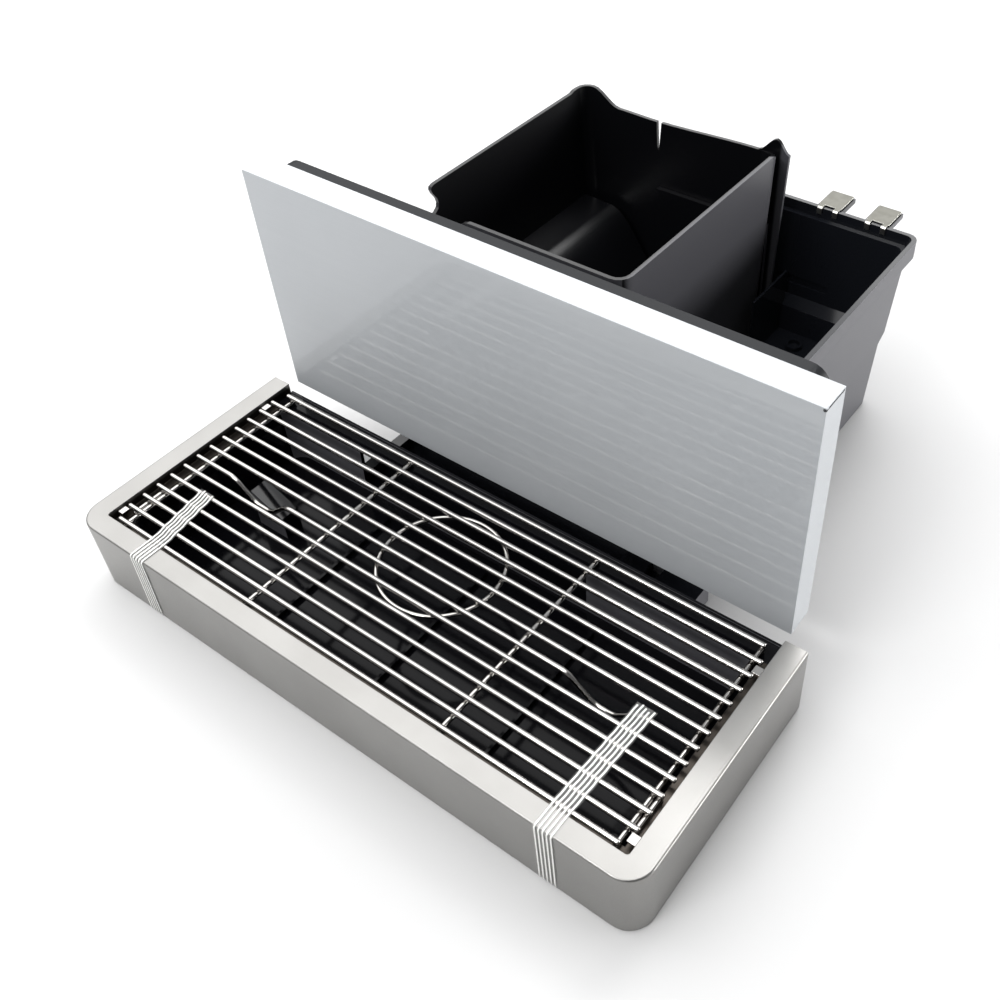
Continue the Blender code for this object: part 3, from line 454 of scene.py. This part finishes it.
# ---------------------------------------------------------------- wire grille
def grip_points(low, high, y):
    """The bar that dips at both sides so that two fingers can lift the grille."""
    floor = low.z + BAR_RADIUS
    half = [
        (GRIP_CENTRE - GRIP_TOP_HALF, y, BAR_Z),
        (GRIP_CENTRE - GRIP_FLOOR_HALF, y, floor),
        (GRIP_CENTRE + GRIP_FLOOR_HALF, y, floor),
        (GRIP_CENTRE + GRIP_TOP_HALF, y, BAR_Z),
        (high.x, y, BAR_Z),
    ]
    mirrored = [(-x, along, z) for x, along, z in reversed(half)]
    return rounded_path(mirrored + half, GRIP_BEND)


def make_wires(material):
    """Every bar and wire of the grille, except the cup ring."""
    for name in (*BARS, *CROSS_WIRES, *LOCATORS):
        low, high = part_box(name)
        centre = (low + high) / 2
        if name == GRIP_BAR:
            points = grip_points(low, high, centre.y)
        elif name in BARS:
            points = [(low.x, centre.y, centre.z), (high.x, centre.y, centre.z)]
        else:
            points = [(centre.x, low.y, centre.z), (centre.x, high.y, centre.z)]
        bm = bmesh.new()
        add_rod(bm, points, BAR_RADIUS)
        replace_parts(add_piece(f"{name}_wire", bm, material, "grille"), name)


def make_cup_ring(material):
    """The closed ring below the bars; gives back its centre and radius."""
    low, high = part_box("cup_ring")
    centre = (low + high) / 2
    thickness = high.z - low.z
    radius = (high.x - low.x - thickness) / 2
    ring = []
    for step in range(RING_STEPS):
        angle = math.tau * step / RING_STEPS
        x = centre.x + radius * math.cos(angle)
        ring.append((x, centre.y + radius * math.sin(angle), centre.z))
    bm = bmesh.new()
    add_rod(bm, ring, thickness / 2, sides=RING_SIDES, closed=True)
    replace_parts(add_piece("cup_ring_wire", bm, material, "grille"), "cup_ring")
    return centre, radius


def make_welds(material, ring_centre, ring_radius):
    """A small bead of metal where each bar crosses a wire below it."""
    crossings = []
    for bar in BARS:
        y = middle(bar).y
        for wire in (*CROSS_WIRES, *LOCATORS):
            low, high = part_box(wire)
            if low.y <= y <= high.y:
                crossings.append((middle(wire).x, y))
        offset = y - ring_centre.y
        if abs(offset) < ring_radius - 1.0 * MM:
            reach = math.sqrt(ring_radius ** 2 - offset ** 2)
            crossings += [(ring_centre.x - reach, y), (ring_centre.x + reach, y)]
    bm = bmesh.new()
    height = (BAR_Z + CROSS_Z) / 2
    for x, y in crossings:
        bead = Matrix.LocRotScale(Vector((x, y, height)), None, Vector(BEAD_SIZE))
        bmesh.ops.create_icosphere(bm, subdivisions=2, radius=1.0, matrix=bead)
    add_piece("weld_beads", bm, material, "grille")


# ---------------------------------------------------------------- transit tape
def tape_route(end):
    """Y and Z along the strip, from the foot of the skirt, over the rim and along the bars."""
    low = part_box("transit_tape_right")[0].z
    top = RIM_TOP + TAPE_GAP
    bend_y = FRONT_Y + TAPE_BEND
    bend_z = RIM_TOP - TAPE_BEND
    route = []
    for step in range(13):
        route.append((FRONT_Y - TAPE_GAP, low + (bend_z - low) * step / 12))
    for step in range(1, 7):
        angle = math.radians(90 * step / 6)
        reach = TAPE_BEND + TAPE_GAP
        route.append((bend_y - reach * math.cos(angle), bend_z + reach * math.sin(angle)))
    for step in range(1, 8):
        route.append((bend_y + (BAR_FIRST_Y - bend_y) * step / 7, top))
    stop = FRONT_Y + end
    steps = round((stop - BAR_FIRST_Y) / TAPE_STEP)
    for step in range(1, steps + 1):
        y = BAR_FIRST_Y + (stop - BAR_FIRST_Y) * step / steps
        phase = math.pi * (y - BAR_FIRST_Y) / BAR_PITCH
        route.append((y, top - TAPE_SAG * math.sin(phase) ** 2))
    return route


def strip_middle(name, y, z):
    """X of the strip's centre line at a point of its route."""
    centre, drift, skirt_drift, _ = TAPES[name]
    below = RIM_TOP - z if y < FRONT_Y else 0.0
    return centre + drift * max(0.0, y - BAR_FIRST_Y) + skirt_drift * below


def add_ribbon(bm, name, route, offset, width, low, high, crown):
    """A band along the route, from low to high above it, with its top rounded by crown."""
    shoulder = high - crown
    left = [(-0.5, low), (-0.5, shoulder), (-0.25, high)]
    profile = left + [(-share, rise) for share, rise in reversed(left)]
    rings = []
    for index, (y, z) in enumerate(route):
        before = route[max(index - 1, 0)]
        after = route[min(index + 1, len(route) - 1)]
        along = Vector((after[0] - before[0], after[1] - before[1])).normalized()
        x = strip_middle(name, y, z) + offset
        ring = []
        for share, rise in profile:
            ring.append(bm.verts.new((x + share * width, y - along.y * rise, z + along.x * rise)))
        rings.append(ring)
    for first, second in zip(rings, rings[1:]):
        join_rings(bm, first, second)
    bm.faces.new(rings[0])
    bm.faces.new(rings[-1])


def make_tape(name, film_material, yarn_material):
    """Clear film with five bundles of filament, torn a little unevenly at its end."""
    end = TAPES[name][3]
    route = tape_route(end)
    film = bmesh.new()
    add_ribbon(film, name, route, 0.0, TAPE_WIDTH, 0.0, FILM_THICKNESS, 0.0)
    piece = add_piece(f"{name}_film", film, film_material, "grille")
    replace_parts(piece, name)
    yarns = bmesh.new()
    pitch = TAPE_WIDTH / YARN_COUNT
    for index in range(YARN_COUNT):
        offset = (index - (YARN_COUNT - 1) / 2) * pitch
        torn = (index * 7 + 3) % YARN_COUNT
        strand = route[:len(route) - torn]
        add_ribbon(yarns, name, strand, offset, YARN_WIDTH, YARN_LOW, TAPE_THICKNESS, YARN_CROWN)
    add_piece(f"{name}_yarn", yarns, yarn_material, "grille")


# ---------------------------------------------------------------- panel seam
def make_panel_seam():
    """The dark joint of the folded sheet along the panel's upper right edge, and its corner notch."""
    low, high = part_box("front_panel")
    bm = bmesh.new()
    joint_size = Vector((0.30 * MM, high.y - low.y - 1.6 * MM, 0.35 * MM))
    joint_place = Vector((high.x - 0.10 * MM, (low.y + high.y) / 2, high.z - 1.3 * MM))
    joint = Matrix.LocRotScale(joint_place, None, joint_size)
    bmesh.ops.create_cube(bm, size=1.0, matrix=joint)
    notch_size = Vector((0.9 * MM,) * 3)
    notch_place = Vector((high.x - 0.7 * MM, low.y + 0.5 * MM, high.z - 1.2 * MM))
    notch = Matrix.LocRotScale(notch_place, None, notch_size)
    bmesh.ops.create_icosphere(bm, subdivisions=3, radius=1.0, matrix=notch)
    shadow = Finish("seam_shadow", (0.02, 0.02, 0.022), 0.6)
    add_piece("panel_seam", bm, shadow.material, "drawer")


# ---------------------------------------------------------------- carried-over CAD nodes
def dress(name, material, width):
    """Gives a CAD node its material and rounds its edges without touching its mesh."""
    node = NODES[name]
    node.data.materials.clear()
    node.data.materials.append(material)
    weld = node.modifiers.new("weld", "WELD")
    weld.merge_threshold = WELD_REACH
    flatten = node.modifiers.new("flatten", "DECIMATE")
    flatten.decimate_type = "DISSOLVE"
    flatten.angle_limit = FLAT_ANGLE
    bevel = node.modifiers.new("round_edges", "BEVEL")
    bevel.width = width
    bevel.segments = 3
    bevel.limit_method = "ANGLE"
    bevel.angle_limit = EDGE_ANGLE
    weigh = node.modifiers.new("even_shading", "WEIGHTED_NORMAL")
    weigh.weight = 100
    node.data.shade_smooth()


# ---------------------------------------------------------------- stage
def make_stage():
    """A plain pale floor under an even dim sky."""
    bpy.ops.mesh.primitive_plane_add(size=FLOOR_SIZE, location=(0.0, 0.0, FLOOR_Z))
    floor = bpy.context.object
    floor.name = "floor"
    finish = Finish("floor_paper", FLOOR_COLOUR, 0.9)
    floor.data.materials.append(finish.material)
    world = bpy.data.worlds.new("studio")
    bpy.context.scene.world = world
    world.use_nodes = True
    sky = world.node_tree.nodes["Background"]
    sky.inputs["Color"].default_value = (*SKY_COLOUR, 1.0)
    sky.inputs["Strength"].default_value = SKY_STRENGTH


def add_light(name, place, target, size, radiance):
    """A rectangular softbox of even brightness, aimed at the target."""
    lamp = bpy.data.lights.new(name, "AREA")
    lamp.shape = "RECTANGLE"
    lamp.size, lamp.size_y = size
    lamp.energy = radiance * math.pi * size[0] * size[1]
    light = bpy.data.objects.new(name, lamp)
    light.location = place
    aim = Vector(target) - Vector(place)
    light.rotation_euler = aim.to_track_quat("-Z", "Y").to_euler()
    bpy.context.scene.collection.objects.link(light)


def make_camera():
    """Looks down at the front right corner, a little off the picture's centre."""
    lens = bpy.data.cameras.new("camera")
    camera = bpy.data.objects.new("camera", lens)
    bpy.context.scene.collection.objects.link(camera)
    bpy.context.scene.camera = camera
    turn = CAMERA_LOOK.to_track_quat("-Z", "Y")
    roll = Quaternion((0.0, 0.0, 1.0), math.radians(CAMERA_ROLL))
    camera.location = CAMERA_PLACE
    camera.rotation_mode = "QUATERNION"
    camera.rotation_quaternion = turn @ roll
    lens.sensor_width = 36.0
    lens.lens = CAMERA_LENS
    lens.shift_x, lens.shift_y = CAMERA_SHIFT
    lens.clip_start = 0.01


# ---------------------------------------------------------------- the whole scene
make_camera()
make_stage()
for light in LIGHTS:
    add_light(*light)
bpy.context.scene.view_settings.view_transform = "Standard"

steel = satin_steel()
wire_metal = polished_wire()
gloss = basin_black()
nickel = contact_nickel()

make_wires(wire_metal)
ring_centre, ring_radius = make_cup_ring(wire_metal)
make_welds(wire_metal, ring_centre, ring_radius)
film = tape_film()
yarn = tape_yarn()
for tape_name in TAPES:
    make_tape(tape_name, film, yarn)

make_panel_seam()

dress("steel_frame", steel, 0.3 * MM)
dress("front_panel", panel_steel(), 0.4 * MM)
dress("panel_carrier", carrier_black(), 0.6 * MM)
dress("grounds_container", container_black(), 0.7 * MM)
for node_name in NODES:
    if node_name.endswith("_basin"):
        dress(node_name, gloss, 0.6 * MM)
    if node_name.startswith(("frame_clip", "carrier_screw")):
        dress(node_name, wire_metal, 0.2 * MM)
    if node_name.startswith("sensor_contact"):
        dress(node_name, nickel, 0.15 * MM)
